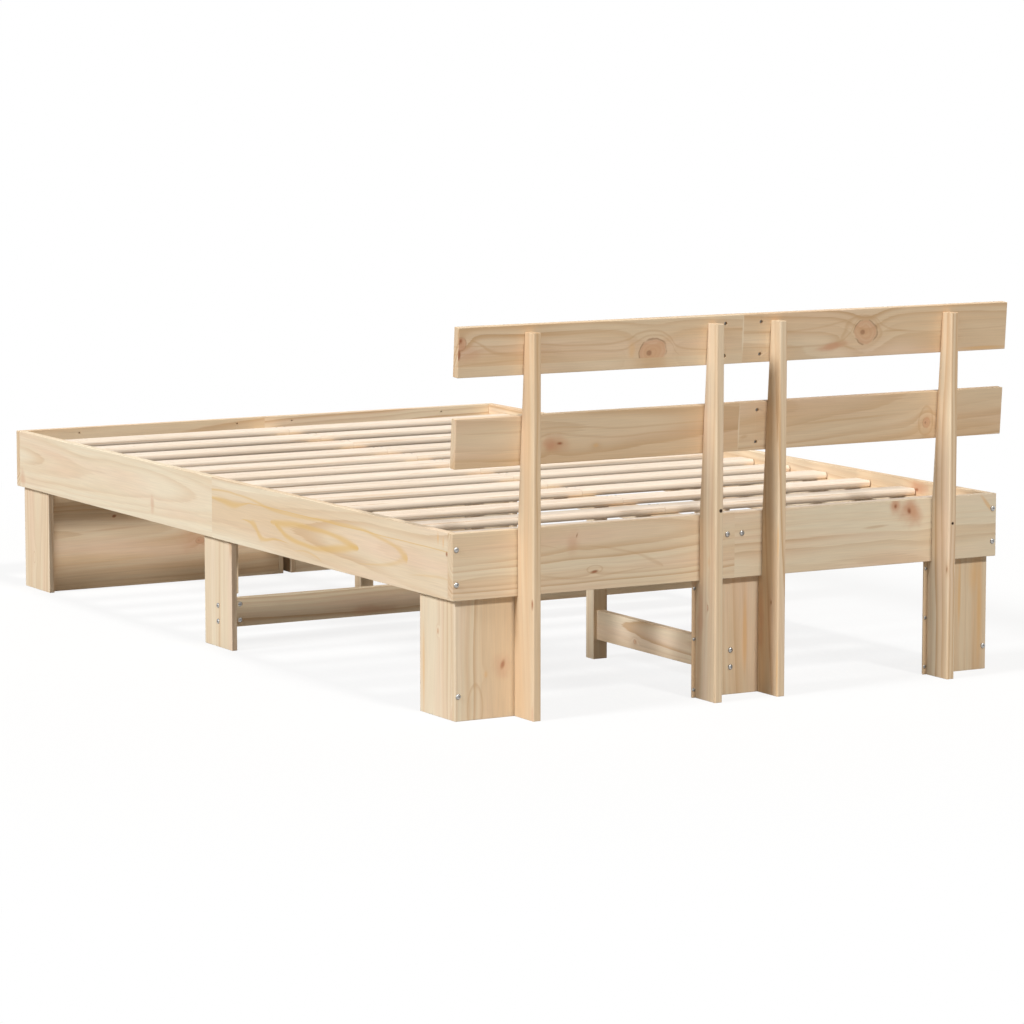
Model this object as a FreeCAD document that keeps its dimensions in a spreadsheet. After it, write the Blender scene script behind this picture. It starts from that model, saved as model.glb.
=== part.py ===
# A small double bed of solid pine boards: rails on boarded legs, a slatted base and a leaning headboard.
# X runs across the bed, Y from the head end to the foot end, Z up from the floor. Sizes are in millimetres.
import os
import re

import FreeCAD
import Part

SIZES = {
    # Rails round the mattress, and how far the headboard stands out behind them
    "bed_width": 1235,
    "bed_length": 2035,
    "rail_thickness": 17.5,
    "rail_height": 125.5,
    "rail_bottom": 228,
    "upright_reach": 57.5,
    # Slats, and the bearers that they lie on
    "slat_width": 56,
    "slat_thickness": 15,
    "slat_rounding": 7,
    "slat_drop": 16,
    "slat_end_gap": 2,
    "slat_middle_gap": 0.2,
    "slat_inner_pitch": 140,
    "slat_end_margin": 100,
    "bearer_height": 18,
    "beam_width": 66,
    "ledger_width": 25,
    # Legs
    "leg_inset": 12.5,
    "leg_thickness": 12,
    "leg_depth": 136,
    "corner_leg_width": 153,
    "centre_leg_width": 176,
    "leg_bevel": 7,
    "middle_leg_width": 127,
    "foot_gap": 19.5,
    "foot_panel_recess": 18.5,
    "block_depth": 28,
    "block_bottom": 110,
    "centre_block_width": 120,
    "splice_width": 100,
    "splice_tongue": 28,
    # Posts and stretchers under the bed
    "post_width": 32,
    "post_depth": 30,
    "post_offset": 497,
    "stretcher_bottom": 40,
    "stretcher_height": 60,
    "stretcher_thickness": 17.5,
    # Headboard
    "upright_thickness": 17.5,
    "upright_height": 722,
    "upright_rounding": 3.5,
    "outer_upright_inset": 18,
    "inner_upright_inset": 17,
    "headboard_lean": 4.04,
    "board_width": 93,
    "board_thickness": 17.5,
    "board_overtop": 14,
    "lower_gap_share": 0.61,
    "batten_length": 160,
    "batten_width": 80,
    "batten_thickness": 17.5,
    # Bolts that hold the rails and the head legs together
    "bolt_head": 10.5,
    "bolt_head_height": 3,
    "bolt_shank": 6,
    "rail_bolt_length": 60,
    "rail_bolt_edge": 30,
    "beam_bolt_spread": 33,
    "leg_bolt_length": 35,
    "leg_bolt_inset": 6.5,
    "leg_bolt_height": 47,
    # Bolts and barrel nuts of the stretchers
    "stretcher_bolt_length": 56,
    "stretcher_bolt_spread": 33,
    "stud_reach": 44,
    "nut_diameter": 10,
    "nut_length": 14,
    "nut_inset": 34,
    # Wood screws
    "screw_head": 7,
    "screw_head_height": 2.5,
    "screw_shank": 4,
    "screw_length": 35,
    "long_screw_length": 50,
    "short_screw_length": 28,
    "edge_screw_length": 4.5,
    "leg_screw_edge": 16,
    "leg_screw_inset": 5,
    "block_screw_spread": 50,
    "centre_block_screw_spread": 80,
    "foot_block_screw_spread": 12,
    "upright_screw_edge": 12,
    "spare_hole_depth": 12,
    "board_screw_spread": 40,
    "joint_screw_spread": 80,
    "joint_screw_edge": 15.5,
    "joint_screw_sink": 3,
    "ledger_screw_margin": 120,
    # Slat screws
    "slat_screw_head": 6,
    "slat_screw_head_height": 2,
    "slat_screw_shank": 3,
    "slat_screw_length": 25,
    "slat_screw_end": 10,
    "slat_screw_offset": 18,
    # Room round each fastener, and how far every cutting solid runs past the wood
    "hole_clearance": 0.2,
    "cut_overrun": 5,
}

# Counts: slats between the middle one and either end at each pitch, and screws along one ledger
INNER_SLATS = 3
OUTER_SLATS = 3
LEDGER_SCREWS = 3

# Planes that several pieces share, as expressions of the sizes
HEAD = "(upright_reach - bed_length - bolt_head_height) / 2"
FOOT = f"({HEAD} + bed_length)"
MIDDLE = f"({HEAD} + bed_length / 2)"
HEAD_INSIDE = f"({HEAD} + rail_thickness)"
FOOT_INSIDE = f"({FOOT} - rail_thickness)"
SIDE = "(bed_width / 2)"
SIDE_INSIDE = "(bed_width / 2 - rail_thickness)"
RAIL_TOP = "(rail_bottom + rail_height)"
LEG_OUTSIDE = "(bed_width / 2 - leg_inset)"
LEG_INSIDE = "(bed_width / 2 - leg_inset - leg_thickness)"
LEG_BACK = f"({HEAD} + leg_inset)"
LEG_BACK_INSIDE = f"({HEAD} + leg_inset + leg_thickness)"
LEG_FRONT = f"({HEAD} + leg_inset + leg_depth)"
FOOT_LEG_OUTSIDE = f"({FOOT} - leg_inset)"
FOOT_LEG_INSIDE = f"({FOOT} - leg_inset - leg_depth)"
SLAT_TOP = "(rail_bottom + rail_height - slat_drop)"
SLAT_BOTTOM = "(rail_bottom + rail_height - slat_drop - slat_thickness)"
BEARER_BOTTOM = f"({SLAT_BOTTOM} - bearer_height)"
BEARER_MIDDLE = f"({SLAT_BOTTOM} - bearer_height / 2)"
STRETCHER_MIDDLE = "(stretcher_bottom + stretcher_height / 2)"
STRETCHER_BOLTS = [
    f"({STRETCHER_MIDDLE} + stretcher_bolt_spread / 2)",
    f"({STRETCHER_MIDDLE} - stretcher_bolt_spread / 2)",
]
UPPER_BOARD_RISE = f"(upright_height - {RAIL_TOP} + board_overtop - board_width)"
LOWER_BOARD_RISE = f"(({UPPER_BOARD_RISE} - board_width) * lower_gap_share)"
UPRIGHTS = {
    "outer": f"({LEG_OUTSIDE} - corner_leg_width + outer_upright_inset)",
    "inner": "(centre_leg_width / 2 - inner_upright_inset)",
}

# Turns that aim a rod, which starts along +Z, down each axis
AIMS = {
    "+x": (FreeCAD.Vector(0, 1, 0), "90"),
    "-x": (FreeCAD.Vector(0, -1, 0), "90"),
    "+y": (FreeCAD.Vector(-1, 0, 0), "90"),
    "-y": (FreeCAD.Vector(1, 0, 0), "90"),
    "+z": (FreeCAD.Vector(1, 0, 0), "0"),
    "-z": (FreeCAD.Vector(1, 0, 0), "180"),
}
LEANING_AIMS = {
    "+y": (FreeCAD.Vector(-1, 0, 0), "90 - headboard_lean"),
    "-y": (FreeCAD.Vector(1, 0, 0), "90 + headboard_lean"),
}
OPPOSITE = {"+": "-", "-": "+"}

doc = FreeCAD.newDocument("DoubleBed")
sheet = doc.addObject("Spreadsheet::Sheet", "Sizes")
for row, (alias, value) in enumerate(SIZES.items(), start=1):
    sheet.set(f"A{row}", alias)
    sheet.set(f"B{row}", str(value))
    sheet.setAlias(f"B{row}", alias)
doc.recompute()

# Each board before drilling, the holes it gets, and the loose pieces that share a node
blanks = {}
holes = {}
groups = {}


def sized(text):
    """Point every size named in an expression at its cell of the sheet."""
    return re.sub(r"[a-z_]+", lambda word: "Sizes." + word[0] if word[0] in SIZES else word[0], text)


def place(item, at, axis, degrees, leaning):
    """Bind a piece's placement, either upright in the frame or in the headboard's leaning frame."""
    x, y, z = at
    if leaning:
        sine, cosine = "sin(headboard_lean * 1 deg)", "cos(headboard_lean * 1 deg)"
        y, z = (
            f"{HEAD} + ({y}) * {cosine} - ({z}) * {sine}",
            f"{RAIL_TOP} + ({y}) * {sine} + ({z}) * {cosine}",
        )
    item.Placement = FreeCAD.Placement(FreeCAD.Vector(), FreeCAD.Rotation(axis, 90))
    item.setExpression("Placement.Rotation.Angle", sized(degrees))
    for name, distance in zip("xyz", (x, y, z)):
        item.setExpression(f"Placement.Base.{name}", sized(distance))


def block(name, x, y, z, leaning=False):
    """A square-edged solid between a pair of faces on each axis."""
    item = doc.addObject("Part::Box", name)
    for side, (low, high) in zip(("Length", "Width", "Height"), (x, y, z)):
        item.setExpression(side, sized(f"({high}) - ({low})"))
    lean = "headboard_lean" if leaning else "0"
    place(item, (x[0], y[0], z[0]), FreeCAD.Vector(1, 0, 0), lean, leaning)
    return item


def rod(name, at, aim, diameter, length, leaning=False):
    """A round solid that starts at a point and runs along one axis."""
    item = doc.addObject("Part::Cylinder", name)
    item.setExpression("Radius", sized(f"({diameter}) / 2"))
    item.setExpression("Height", sized(length))
    axis, degrees = (LEANING_AIMS if leaning else AIMS)[aim]
    place(item, at, axis, degrees, leaning)
    return item


def moved(at, aim, distance):
    """The point a distance further along an aim."""
    step = f"{aim[0]} ({distance})"
    return tuple(f"{here} {step}" if axis == aim[1] else here for axis, here in zip("xyz", at))


def mirrored(side, low, high):
    """A span measured outward from the centre line, laid on the left or the right of the bed."""
    return (f"-({high})", f"-({low})") if side == "left" else (low, high)


def across(side, distance):
    """A distance out from the centre line, laid on the left or the right of the bed."""
    return f"-({distance})" if side == "left" else distance


def board(name, x, y, z, leaning=False):
    """A plain board, to be drilled once all its fasteners are known."""
    blanks[name] = block(name + "_blank", x, y, z, leaning)


def bevelled(name, x, y, z, far_x):
    """A board whose ends slope, from one span across at its near face to another at its far face."""
    item = doc.addObject("Part::Wedge", name + "_blank")
    for axis, (low, high) in {"X": x, "Y": y, "Z": z, "X2": far_x, "Z2": z}.items():
        item.setExpression(axis + "min", sized(low))
        item.setExpression(axis + "max", sized(high))
    blanks[name] = item


def joined(kind, name, base, tool):
    """A boolean of two pieces."""
    item = doc.addObject(kind, name)
    item.Base = base
    item.Tool = tool
    return item


def rounded(name, item, radius, chosen):
    """A piece with the chosen edges rounded."""
    doc.recompute()
    item_edges = enumerate(item.Shape.Edges, start=1)
    rounding = doc.addObject("Part::Fillet", name)
    rounding.Base = item
    rounding.Edges = [(number, radius, radius) for number, edge in item_edges if chosen(item.Shape, edge)]
    return rounding


def drill(names, at, aim, diameter, length, leaning=False):
    """A round hole through the named boards, a little larger than what goes into it."""
    start = moved(at, OPPOSITE[aim[0]] + aim[1], "cut_overrun")
    bore = f"{diameter} + 2 * hole_clearance"
    depth = f"{length} + hole_clearance + cut_overrun"
    for name in names:
        hole = rod(name + "_hole", start, aim, bore, depth, leaning)
        holes.setdefault(name, []).append(hole)


def fastener(group, kind, length, at, aim, through, sunk=True, leaning=False):
    """A headed bolt or screw through the named boards, its head sunk flush or standing on the surface."""
    head_aim = aim if sunk else OPPOSITE[aim[0]] + aim[1]
    head = rod(group + "_head", at, head_aim, f"{kind}_head", f"{kind}_head_height", leaning)
    shank = rod(group + "_shank", at, aim, f"{kind}_shank", length, leaning)
    groups.setdefault(group, []).append(joined("Part::Fuse", group + "_piece", head, shank))
    drill(through, at, aim, f"{kind}_shank", length, leaning)
    if sunk:
        drill(through[:1], at, aim, f"{kind}_head", f"{kind}_head_height", leaning)


def rails():
    """Head, foot and side rails, each in two halves, with the bolts at their corners."""
    height = ("rail_bottom", RAIL_TOP)
    edges = ("rail_bottom + rail_bolt_edge", f"{RAIL_TOP} - rail_bolt_edge")
    for side in ("left", "right"):
        half = mirrored(side, "0", SIDE)
        board(f"head_rail_{side}", half, (HEAD, HEAD_INSIDE), height)
        board(f"foot_rail_{side}", half, (FOOT_INSIDE, FOOT), height)
        thickness = mirrored(side, SIDE_INSIDE, SIDE)
        board(f"{side}_rail_head", thickness, (HEAD_INSIDE, MIDDLE), height)
        board(f"{side}_rail_foot", thickness, (MIDDLE, FOOT_INSIDE), height)
        corner = across(side, f"{SIDE} - rail_thickness / 2")
        beam = across(side, "beam_bolt_spread / 2")
        for end, face, aim in (("head", HEAD, "+y"), ("foot", FOOT, "-y")):
            rail = f"{end}_rail_{side}"
            for level in edges:
                at = (corner, face, level)
                through = [rail, f"{side}_rail_{end}"]
                fastener("rail_bolts", "bolt", "rail_bolt_length", at, aim, through, sunk=False)
            at = (beam, face, BEARER_MIDDLE)
            through = [rail, f"centre_beam_{end}"]
            fastener("rail_bolts", "bolt", "rail_bolt_length", at, aim, through, sunk=False)


def bearers():
    """The centre beam in two halves and a ledger in two halves on each side rail."""
    height = (BEARER_BOTTOM, SLAT_BOTTOM)
    for end, length in (("head", (HEAD_INSIDE, MIDDLE)), ("foot", (MIDDLE, FOOT_INSIDE))):
        board(f"centre_beam_{end}", ("-beam_width / 2", "beam_width / 2"), length, height)
        for side in ("left", "right"):
            inside = f"{SIDE_INSIDE} - ledger_width"
            ledger = f"{side}_ledger_{end}"
            board(ledger, mirrored(side, inside, SIDE_INSIDE), length, height)
            outward = "-x" if side == "left" else "+x"
            for number in range(LEDGER_SCREWS):
                span = f"({length[1]} - ({length[0]}) - 2 * ledger_screw_margin)"
                along = f"{length[0]} + ledger_screw_margin + {span} * {number} / {LEDGER_SCREWS - 1}"
                at = (across(side, inside), along, BEARER_MIDDLE)
                through = [ledger, f"{side}_rail_{end}"]
                fastener("frame_screws", "screw", "screw_length", at, outward, through)


def slats():
    """Half-length slats in rows, meeting over the centre beam, with one screw at each inner end."""
    last = INNER_SLATS + OUTER_SLATS
    for number in range(-last, last + 1):
        steps = abs(number)
        inner = min(steps, INNER_SLATS)
        rest = f"(bed_length / 2 - rail_thickness - slat_end_margin - {INNER_SLATS} * slat_inner_pitch)"
        offset = f"({inner} * slat_inner_pitch + {rest} * {steps - inner} / {OUTER_SLATS})"
        centre = f"({MIDDLE} {'-' if number < 0 else '+'} {offset})"
        width = (f"{centre} - slat_width / 2", f"{centre} + slat_width / 2")
        end = "head" if number < 0 else "foot"
        for side in ("left", "right"):
            name = f"slat_{side}_{number + last + 1:02d}"
            span = mirrored(side, "slat_middle_gap", f"{SIDE_INSIDE} - slat_end_gap")
            blank = block(name + "_blank", span, width, (SLAT_BOTTOM, SLAT_TOP))
            blanks[name] = rounded(name + "_rounded", blank, sheet.slat_rounding, runs_across)
            at = (across(side, "slat_screw_end"), f"{centre} + slat_screw_offset", SLAT_TOP)
            through = [name, f"centre_beam_{end}"]
            fastener("slat_screws", "slat_screw", "slat_screw_length", at, "-z", through)


def runs_across(shape, edge):
    """Whether an edge runs the whole way across, along X."""
    return edge.BoundBox.XLength > shape.BoundBox.XLength / 2


def runs_up_the_back(shape, edge):
    """Whether an edge runs up the rear of a piece."""
    tall = edge.BoundBox.ZLength > shape.BoundBox.ZLength / 2
    return tall and edge.BoundBox.YMax < shape.BoundBox.Center.y


def leg_screws(centre, board_name):
    """Three short screws down one edge of a leg's back board."""
    for level in ("leg_screw_edge", "rail_bottom / 2", "rail_bottom - leg_screw_edge"):
        at = (centre, LEG_BACK, level)
        fastener("frame_screws", "screw", "edge_screw_length", at, "+y", [board_name], sunk=False)


def head_legs():
    """Two corner legs, each a back board with an outer side board, and a centre leg of one board."""
    height = ("0", "rail_bottom")
    back = (LEG_BACK, LEG_BACK_INSIDE)
    depth = (LEG_BACK_INSIDE, LEG_FRONT)
    inner = f"({LEG_OUTSIDE} - corner_leg_width)"
    edge = "centre_leg_width / 2"
    far_edge = f"{edge} - leg_bevel"
    bevelled("centre_leg_back", (f"-{edge}", edge), back, height, (f"-({far_edge})", far_edge))
    for side in ("left", "right"):
        name = f"head_leg_{side}"
        far_face = mirrored(side, f"{inner} + leg_bevel", LEG_OUTSIDE)
        bevelled(f"{name}_back", mirrored(side, inner, LEG_OUTSIDE), back, height, far_face)
        board(f"{name}_outer", mirrored(side, LEG_INSIDE, LEG_OUTSIDE), depth, height)
        leg_screws(across(side, f"{inner} + leg_screw_inset"), f"{name}_back")
        leg_screws(across(side, f"{edge} - leg_screw_inset"), "centre_leg_back")
        at = (across(side, f"{LEG_OUTSIDE} - leg_bolt_inset"), LEG_BACK, "leg_bolt_height")
        through = [f"{name}_back", f"{name}_outer"]
        fastener("leg_bolts", "bolt", "leg_bolt_length", at, "+y", through, sunk=False)


def foot_legs():
    """Two open-fronted plinths at the foot end, each a panel set between two side boards."""
    height = ("0", "rail_bottom")
    depth = (FOOT_LEG_INSIDE, FOOT_LEG_OUTSIDE)
    face = f"({FOOT_LEG_INSIDE} + foot_panel_recess)"
    near = "(foot_gap / 2 + leg_thickness)"
    for side in ("left", "right"):
        name = f"foot_leg_{side}"
        board(f"{name}_outer", mirrored(side, LEG_INSIDE, LEG_OUTSIDE), depth, height)
        board(f"{name}_inner", mirrored(side, "foot_gap / 2", near), (face, FOOT_LEG_OUTSIDE), height)
        board(f"{name}_panel", mirrored(side, near, LEG_INSIDE), (face, f"{face} + leg_thickness"), height)


def stepped_block(name, lower, upper):
    """A block whose lower part lies in a leg and whose upper part steps out to the rail above."""
    low = block(name + "_low", lower[0], lower[1], ("block_bottom", "rail_bottom"))
    high = block(name + "_high", upper[0], upper[1], ("rail_bottom", BEARER_BOTTOM))
    blanks[name] = joined("Part::Fuse", name + "_blank", low, high)


def corner_blocks():
    """A block in each corner that ties the rails to the leg below."""
    inside = f"{LEG_INSIDE} - block_depth"
    leg_level = "(block_bottom + rail_bottom) / 2"
    rise = f"({BEARER_BOTTOM} - rail_bottom)"
    head = (HEAD_INSIDE, f"{HEAD_INSIDE} + block_depth")
    head_low = (LEG_BACK_INSIDE, head[1])
    foot = (f"{FOOT_INSIDE} - block_depth", FOOT_INSIDE)
    for side in ("left", "right"):
        outward = "-x" if side == "left" else "+x"
        lower = mirrored(side, inside, LEG_INSIDE)
        upper = mirrored(side, inside, SIDE_INSIDE)
        for end, low, high, aim in (("head", head_low, head, "-y"), ("foot", foot, foot, "+y")):
            name = f"corner_block_{end}_{side}"
            stepped_block(name, (lower, low), (upper, high))
            centre = f"({high[0]} + {high[1]}) / 2"
            at = (across(side, inside), centre, leg_level)
            through = [name, f"{end}_leg_{side}_outer"]
            fastener("frame_screws", "screw", "screw_length", at, outward, through)
            at = (across(side, inside), centre, f"rail_bottom + {rise} * 2 / 3")
            through = [name, f"{side}_rail_{end}"]
            fastener("frame_screws", "screw", "long_screw_length", at, outward, through)
            face = high[1] if end == "head" else high[0]
            at = (across(side, f"{LEG_INSIDE} - block_depth / 2"), face, f"rail_bottom + {rise} / 3")
            through = [name, f"{end}_rail_{side}"]
            fastener("frame_screws", "screw", "screw_length", at, aim, through)


def centre_blocks():
    """Blocks behind the joints of the head rail and the foot rail."""
    level = f"(rail_bottom + {BEARER_BOTTOM}) / 2"
    leg_level = "(block_bottom + rail_bottom) / 2"
    width = ("-centre_block_width / 2", "centre_block_width / 2")
    front = f"{HEAD_INSIDE} + block_depth"
    stepped_block("head_centre_block", (width, (LEG_BACK_INSIDE, front)), (width, (HEAD_INSIDE, front)))
    rear = f"{FOOT_INSIDE} - block_depth"
    gap = ("-foot_gap / 2", "foot_gap / 2")
    board("foot_centre_block", gap, (rear, FOOT_INSIDE), ("block_bottom", BEARER_BOTTOM))
    leg_rise = "(rail_bottom - block_bottom)"
    for side, inward, share in (("left", "+x", "1 / 3"), ("right", "-x", "2 / 3")):
        at = (across(side, "centre_block_screw_spread / 2"), front, level)
        through = ["head_centre_block", f"head_rail_{side}"]
        fastener("frame_screws", "screw", "screw_length", at, "-y", through)
        at = (across(side, "centre_block_screw_spread / 2"), front, leg_level)
        through = ["head_centre_block", "centre_leg_back"]
        fastener("frame_screws", "screw", "short_screw_length", at, "-y", through)
        at = (across(side, "foot_block_screw_spread / 2"), rear, level)
        through = ["foot_centre_block", f"foot_rail_{side}"]
        fastener("frame_screws", "screw", "screw_length", at, "+y", through)
        start = across(side, "foot_gap / 2 + leg_thickness")
        at = (start, f"{FOOT_INSIDE} - block_depth / 2", f"block_bottom + {leg_rise} * {share}")
        through = [f"foot_leg_{side}_inner", "foot_centre_block"]
        fastener("frame_screws", "screw", "short_screw_length", at, inward, through)


def middle_legs():
    """A leg under the joint of each side rail, and a block with a tongue that ties the rail to the leg."""
    width = (f"{MIDDLE} - middle_leg_width / 2", f"{MIDDLE} + middle_leg_width / 2")
    splice = (f"{MIDDLE} - splice_width / 2", f"{MIDDLE} + splice_width / 2")
    tongue = (f"{MIDDLE} - splice_tongue / 2", f"{MIDDLE} + splice_tongue / 2")
    inside = f"{LEG_INSIDE} - block_depth"
    for side in ("left", "right"):
        board(f"middle_leg_{side}", mirrored(side, LEG_INSIDE, LEG_OUTSIDE), width, ("0", "rail_bottom"))
        name = f"splice_block_{side}"
        lower = mirrored(side, inside, LEG_INSIDE)
        upper = mirrored(side, inside, SIDE_INSIDE)
        stepped_block(name, (lower, tongue), (upper, splice))
        outward = "-x" if side == "left" else "+x"
        for end, sign, share in (("head", "-", "1 / 4"), ("foot", "+", "3 / 4")):
            at = (across(side, inside), MIDDLE, f"block_bottom + (rail_bottom - block_bottom) * {share}")
            through = [name, f"middle_leg_{side}"]
            fastener("frame_screws", "screw", "screw_length", at, outward, through)
            along = f"{MIDDLE} {sign} block_screw_spread / 2"
            at = (across(side, inside), along, f"(rail_bottom + {BEARER_BOTTOM}) / 2")
            through = [name, f"{side}_rail_{end}"]
            fastener("frame_screws", "screw", "long_screw_length", at, outward, through)


def posts():
    """Three posts that carry the centre beam."""
    across_post = ("-post_width / 2", "post_width / 2")
    height = ("0", BEARER_BOTTOM)
    depths = {
        "head": (f"{HEAD} + post_offset", f"{HEAD} + post_offset + post_depth"),
        "middle": (f"{MIDDLE} - post_depth / 2", f"{MIDDLE} + post_depth / 2"),
        "foot": (f"{FOOT} - post_offset - post_depth", f"{FOOT} - post_offset"),
    }
    for end, depth in depths.items():
        board(f"{end}_post", across_post, depth, height)
        for beam, share in (("head", "1 / 4"), ("foot", "3 / 4")):
            if end in ("middle", beam):
                at = ("0", f"{depth[0]} + post_depth * {share}", SLAT_BOTTOM)
                through = [f"centre_beam_{beam}", f"{end}_post"]
                fastener("frame_screws", "screw", "long_screw_length", at, "-z", through)


def barrel_nut(at, aim, bolt_at, bolt_aim, bolt_length, stretcher):
    """A round cross nut let into a stretcher, with the bolt's hole through it."""
    barrel = rod("barrel_nut_blank", at, aim, "nut_diameter", "nut_length")
    bore = rod("barrel_nut_bore", bolt_at, bolt_aim, "bolt_shank + 2 * hole_clearance", bolt_length)
    groups.setdefault("barrel_nuts", []).append(joined("Part::Cut", "barrel_nut", barrel, bore))
    drill([stretcher], at, aim, "nut_diameter", "nut_length")


def stretchers():
    """A cross stretcher in two halves between the middle legs, and one from the head leg to its post."""
    height = ("stretcher_bottom", "stretcher_bottom + stretcher_height")
    thickness = ("-stretcher_thickness / 2", "stretcher_thickness / 2")
    depth = (f"{MIDDLE} - stretcher_thickness / 2", f"{MIDDLE} + stretcher_thickness / 2")
    post_face = f"{HEAD} + post_offset"
    board("head_stretcher", thickness, (LEG_BACK_INSIDE, post_face), height)
    for side in ("left", "right"):
        board(f"cross_stretcher_{side}", mirrored(side, "post_width / 2", LEG_INSIDE), depth, height)
    for level in STRETCHER_BOLTS:
        at = ("0", LEG_BACK, level)
        through = ["centre_leg_back", "head_stretcher"]
        fastener("stretcher_bolts", "bolt", "stretcher_bolt_length", at, "+y", through, sunk=False)
        nut_at = (thickness[0], f"{LEG_BACK_INSIDE} + nut_inset", level)
        barrel_nut(nut_at, "+x", at, "+y", "stretcher_bolt_length + cut_overrun", "head_stretcher")
        at = ("0", f"{post_face} + post_depth", level)
        through = ["head_post", "head_stretcher"]
        fastener("frame_screws", "screw", "long_screw_length", at, "-y", through)
        stud_length = "post_width + 2 * stud_reach"
        stud_at = ("-post_width / 2 - stud_reach", MIDDLE, level)
        stud = rod("stretcher_stud", stud_at, "+x", "bolt_shank", stud_length)
        groups["stretcher_bolts"].append(stud)
        drill(["cross_stretcher_left", "middle_post", "cross_stretcher_right"],
              stud_at, "+x", "bolt_shank", stud_length)
        for side, inward in (("left", "+x"), ("right", "-x")):
            stretcher = f"cross_stretcher_{side}"
            at = (across(side, LEG_OUTSIDE), MIDDLE, level)
            through = [f"middle_leg_{side}", stretcher]
            fastener("stretcher_bolts", "bolt", "stretcher_bolt_length", at, inward, through, sunk=False)
            nut_at = (across(side, f"{LEG_INSIDE} - nut_inset"), depth[0], level)
            barrel_nut(nut_at, "+y", at, inward, "stretcher_bolt_length + cut_overrun", stretcher)
            nut_at = (across(side, "post_width / 2 + nut_inset"), depth[0], level)
            barrel_nut(nut_at, "+y", stud_at, "+x", stud_length, stretcher)


def uprights():
    """Four uprights notched over the head rail, their fronts sloped for the headboard."""
    for side in ("left", "right"):
        for row, leg in (("outer", f"head_leg_{side}_back"), ("inner", "centre_leg_back")):
            name = f"{row}_upright_{side}"
            centre = across(side, UPRIGHTS[row])
            width = (f"{centre} - upright_thickness / 2", f"{centre} + upright_thickness / 2")
            cut_width = (f"{width[0]} - cut_overrun", f"{width[1]} + cut_overrun")
            depth = (f"{HEAD} - upright_reach", LEG_BACK)
            plain = block(name + "_plain", width, depth, ("0", "upright_height"))
            eased = rounded(name + "_eased", plain, sheet.upright_rounding, runs_up_the_back)
            seat = (HEAD, f"{LEG_BACK} + cut_overrun")
            notch = block(name + "_notch", cut_width, seat, ("rail_bottom", "upright_height + cut_overrun"))
            notched = joined("Part::Cut", name + "_notched", eased, notch)
            slope_depth = ("0", "upright_reach")
            slope = block(name + "_slope", cut_width, slope_depth, ("0", "upright_height"), leaning=True)
            blanks[name] = joined("Part::Cut", name + "_blank", notched, slope)
            for level in (f"{RAIL_TOP} - upright_screw_edge", "rail_bottom + upright_screw_edge"):
                at = (centre, HEAD_INSIDE, level)
                through = [f"head_rail_{side}", name]
                fastener("headboard_screws", "screw", "long_screw_length", at, "-y", through)
                at = (centre, FOOT_INSIDE, level)
                drill([f"foot_rail_{side}"], at, "+y", "screw_shank", "spare_hole_depth")
            for share in ("1 / 4", "3 / 4"):
                at = (centre, LEG_BACK_INSIDE, f"rail_bottom * {share}")
                fastener("headboard_screws", "screw", "screw_length", at, "-y", [leg, name])


def headboard():
    """Two leaning boards in halves on the front of the uprights, with a batten over each joint."""
    batten_depth = ("board_thickness", "board_thickness + batten_thickness")
    for level, rise in (("lower", LOWER_BOARD_RISE), ("upper", UPPER_BOARD_RISE)):
        middle = f"({rise} + board_width / 2)"
        batten = f"{level}_batten"
        span = ("-batten_length / 2", "batten_length / 2")
        height = (f"{middle} - batten_width / 2", f"{middle} + batten_width / 2")
        board(batten, span, batten_depth, height, leaning=True)
        for side in ("left", "right"):
            name = f"{level}_board_{side}"
            half = mirrored(side, "0", SIDE)
            board(name, half, ("0", "board_thickness"), (rise, f"{rise} + board_width"), leaning=True)
            for at_height in (f"{rise} + joint_screw_edge", f"{rise} + board_width - joint_screw_edge"):
                at = (across(side, "joint_screw_spread / 2"), "joint_screw_sink", at_height)
                through = [name, batten]
                fastener("headboard_screws", "screw", "short_screw_length", at, "+y", through, leaning=True)
            for row in ("outer", "inner"):
                for sign in "+-":
                    at_height = f"{middle} {sign} board_screw_spread / 2"
                    at = (across(side, UPRIGHTS[row]), "board_thickness", at_height)
                    through = [name, f"{row}_upright_{side}"]
                    fastener("headboard_screws", "screw", "screw_length", at, "-y", through, leaning=True)


def node_name(piece):
    """The node that a piece belongs to: slats, splices and battens share one for each set."""
    if piece.startswith("slat_"):
        return "slats_" + piece.split("_")[1]
    if piece.startswith("splice_block_"):
        return "splice_blocks"
    if piece.endswith("_batten"):
        return "joint_battens"
    return piece


def finished(name):
    """A board with its holes drilled."""
    blank = blanks[name]
    for number, hole in enumerate(holes.get(name, [])):
        blank = joined("Part::Cut", f"{name}_drilled_{number + 1}", blank, hole)
    return blank


for make in (rails, bearers, slats, head_legs, foot_legs, corner_blocks, centre_blocks, middle_legs, posts,
             stretchers, uprights, headboard):
    make()
for piece in blanks:
    groups.setdefault(node_name(piece), []).append(finished(piece))

nodes = []
for label, pieces in groups.items():
    node = pieces[0]
    if len(pieces) > 1:
        node = doc.addObject("Part::Compound", label + "_set")
        node.Links = pieces
    node.Label = label
    nodes.append(node)
doc.recompute()

for item in doc.Objects:
    if "Invalid" in item.State or "Error" in item.State:
        raise RuntimeError(f"{item.Label} did not build: {item.State}")
for node in nodes:
    if node.Shape.isNull() or not node.Shape.isValid():
        raise RuntimeError(f"{node.Label} has no valid shape")
    solids, pieces = len(node.Shape.Solids), len(groups[node.Label])
    if solids != pieces:
        raise RuntimeError(f"{node.Label} has {solids} solids for {pieces} pieces")

os.makedirs("parts", exist_ok=True)
for node in nodes:
    node.Shape.exportStep(f"parts/{node.Label}.step")
print(len(nodes), "nodes,", sum(len(node.Shape.Solids) for node in nodes), "solids")
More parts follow.
